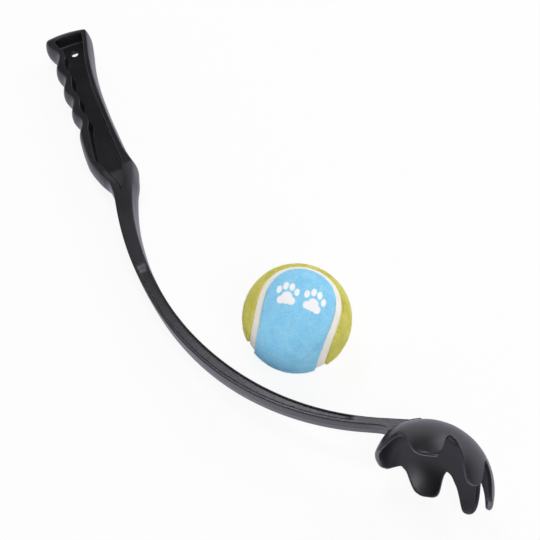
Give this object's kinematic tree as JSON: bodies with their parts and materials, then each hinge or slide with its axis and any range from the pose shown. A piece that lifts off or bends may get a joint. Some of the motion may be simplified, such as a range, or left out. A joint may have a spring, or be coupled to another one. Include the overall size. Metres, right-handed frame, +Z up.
{
  "type": "dog ball thrower",
  "caption": "Moulded plastic throwing arm with a finger grip and a clawed cup, lying on its side beside a two-colour felt ball.",
  "frame": {"origin": "middle of the bounding box at the floor", "axes": "+X from the grip to the cup, +Y to the hollow side of the bow where the ball lies, +Z up from the floor"},
  "size_m": [0.4646, 0.0978, 0.0695],
  "materials": {
    "black_plastic": "black moulded plastic with a soft satin sheen",
    "core_rubber": "dull black rubber",
    "blue_felt": "short woolly felt with two white paw prints",
    "lime_felt": "short woolly felt",
    "cream_seam": "dull cream rubber seam"
  },
  "bodies": {
    "thrower": {"thrower_moulding": "black_plastic"},
    "ball": {"ball_core_half_a": "core_rubber", "ball_core_half_b": "core_rubber", "felt_panel_blue": "blue_felt", "felt_panel_lime": "lime_felt", "ball_seam": "cream_seam"}
  },
  "joints": [
    {"name": "ball_roll", "type": "hinge", "parent": "thrower", "child": "ball", "pos_m": [0.07958, 0.01518, 0.0325], "axis": [1, 0, 0], "continuous": true}
  ]
}
